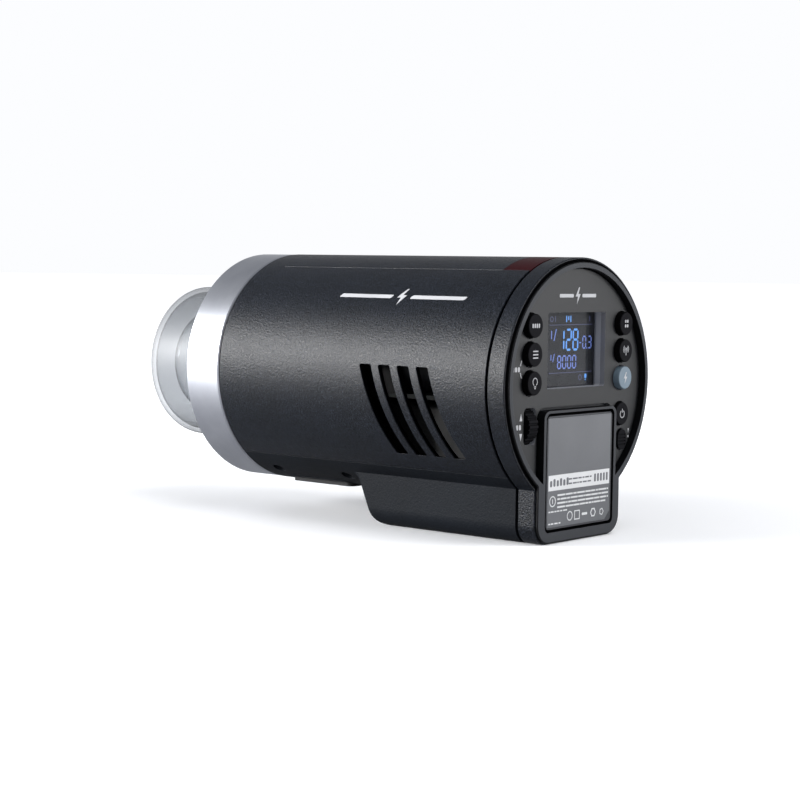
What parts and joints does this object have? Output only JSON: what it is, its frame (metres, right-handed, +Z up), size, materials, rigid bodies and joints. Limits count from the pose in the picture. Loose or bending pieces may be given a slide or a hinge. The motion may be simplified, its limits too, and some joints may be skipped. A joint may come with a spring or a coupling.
{
  "type": "monolight strobe",
  "caption": "Battery-powered studio strobe: cylindrical black barrel, clear glass dome over a ring flash tube, silver accessory ring, rear display panel, slide-in battery in a keel.",
  "frame": {"origin": "centre of the overall box, at the level of the keel's flat underside", "axes": "+Z up, the barrel along Y with the lamp at -Y and the control panel at +Y, +X the operator's side with the dial"},
  "size_m": [0.09, 0.199, 0.1014],
  "materials": {
    "textured_black": "spark-eroded texture",
    "rim_black": "satin",
    "panel_grey": "fine matt",
    "well_grey": "satin",
    "clear_window": "clear",
    "display_dark": "liquid crystal, unlit grey",
    "board_green": "solder resist",
    "switch_black": "moulded",
    "button_rubber": "matt",
    "button_translucent": "translucent",
    "steel": "plated",
    "carriage_plastic": "moulded",
    "contact_gold": "plated",
    "battery_plastic": "moulded",
    "label_grey": "printed film",
    "cell_wrap": null,
    "ring_aluminium": "satin anodised",
    "seal_rubber": "matt",
    "carrier_black": "moulded",
    "dome_glass": "clear borosilicate",
    "reflector_white": "white enamel",
    "ceramic_white": "glazed ceramic",
    "tube_glass": "quartz",
    "trigger_nickel": "drawn wire",
    "led_yellow": "phosphor",
    "lens_clear": "clear silicone",
    "capacitor_sleeve": "shrink sleeve",
    "ferrite": "sintered",
    "brass": "turned",
    "sensor_red": "tinted translucent"
  },
  "bodies": {
    "housing": {"upper_shell": "textured_black", "lower_shell": "textured_black", "sensor_window": "sensor_red", "rear_bezel": "textured_black", "rear_frame": "rim_black", "control_panel": "panel_grey", "display_well": "well_grey", "display_glass": "clear_window", "display_module": "display_dark", "control_board": "board_green", "key_switches": "switch_black", "battery_bay": "switch_black", "bay_contacts": "contact_gold", "ring_seal": "seal_rubber", "front_ring": "ring_aluminium", "lamp_carrier": "carrier_black", "glass_dome": "dome_glass", "dome_gasket": "seal_rubber", "reflector_plate": "reflector_white", "tube_sockets": "ceramic_white", "flash_tube": "tube_glass", "trigger_wire": "trigger_nickel", "modelling_led": "led_yellow", "led_lens": "lens_clear", "heat_sink": "ring_aluminium", "fan_frame": "switch_black", "power_board": "board_green", "capacitors": "capacitor_sleeve", "capacitor_strap": "capacitor_sleeve", "transformer": "ferrite", "trigger_coil": "ferrite", "sync_jack": "switch_black", "usb_socket": "steel", "bracket_plate": "ring_aluminium", "thread_insert": "brass", "plate_screws": "steel", "shell_screws": "steel"},
    "mode_key": {"mode_button": "button_rubber"},
    "menu_key": {"menu_button": "button_rubber"},
    "lamp_key": {"lamp_button": "button_rubber"},
    "group_key": {"group_button": "button_rubber"},
    "wireless_key": {"wireless_button": "button_rubber"},
    "test_key": {"test_button": "button_translucent"},
    "power_key": {"power_button": "button_rubber"},
    "dial_carrier": {"dial_carriage": "carriage_plastic", "dial_axle": "steel"},
    "dial_wheel": {"set_dial": "button_rubber"},
    "release_key": {"release_button": "button_rubber"},
    "latch": {"battery_latch": "switch_black"},
    "battery": {"battery_case": "battery_plastic", "battery_label": "label_grey", "battery_cells": "cell_wrap", "battery_terminals": "contact_gold"},
    "fan": {"fan_rotor": "switch_black"}
  },
  "joints": [
    {"name": "mode_press", "type": "slide", "parent": "housing", "child": "mode_key", "axis": [0, -1, 0], "range_m": [0, 0.0007], "stiffness_N_per_m": 900, "springref_m": -0.0006},
    {"name": "menu_press", "type": "slide", "parent": "housing", "child": "menu_key", "axis": [0, -1, 0], "range_m": [0, 0.0007], "stiffness_N_per_m": 900, "springref_m": -0.0006},
    {"name": "lamp_press", "type": "slide", "parent": "housing", "child": "lamp_key", "axis": [0, -1, 0], "range_m": [0, 0.0007], "stiffness_N_per_m": 900, "springref_m": -0.0006},
    {"name": "group_press", "type": "slide", "parent": "housing", "child": "group_key", "axis": [0, -1, 0], "range_m": [0, 0.0007], "stiffness_N_per_m": 900, "springref_m": -0.0006},
    {"name": "wireless_press", "type": "slide", "parent": "housing", "child": "wireless_key", "axis": [0, -1, 0], "range_m": [0, 0.0007], "stiffness_N_per_m": 900, "springref_m": -0.0006},
    {"name": "test_press", "type": "slide", "parent": "housing", "child": "test_key", "axis": [0, -1, 0], "range_m": [0, 0.0007], "stiffness_N_per_m": 900, "springref_m": -0.0006},
    {"name": "power_press", "type": "slide", "parent": "housing", "child": "power_key", "axis": [0, -1, 0], "range_m": [0, 0.0007], "stiffness_N_per_m": 900, "springref_m": -0.0006},
    {"name": "set_press", "type": "slide", "parent": "housing", "child": "dial_carrier", "axis": [0, -1, 0], "range_m": [0, 0.0006], "stiffness_N_per_m": 900, "springref_m": -0.0006},
    {"name": "dial_turn", "type": "hinge", "parent": "dial_carrier", "child": "dial_wheel", "pos_m": [0.0277, 0.0922, 0.0422], "axis": [1, 0, 0], "continuous": true},
    {"name": "release_press", "type": "slide", "parent": "housing", "child": "release_key", "axis": [0, -1, 0], "range_m": [0, 0.0012], "stiffness_N_per_m": 900, "springref_m": -0.0006},
    {"name": "latch_slide", "type": "slide", "parent": "housing", "child": "latch", "axis": [-1, 0, 0], "range_m": [0, 0.0012]},
    {"name": "battery_slide", "type": "slide", "parent": "housing", "child": "battery", "axis": [0, 1, 0], "range_m": [0, 0.075]},
    {"name": "fan_spin", "type": "hinge", "parent": "housing", "child": "fan", "pos_m": [0, -0.0125, 0.0564], "axis": [0, 1, 0], "continuous": true}
  ],
  "couplings": [
    {"joint": "latch_slide", "follows": "release_press", "ratio": 1}
  ]
}
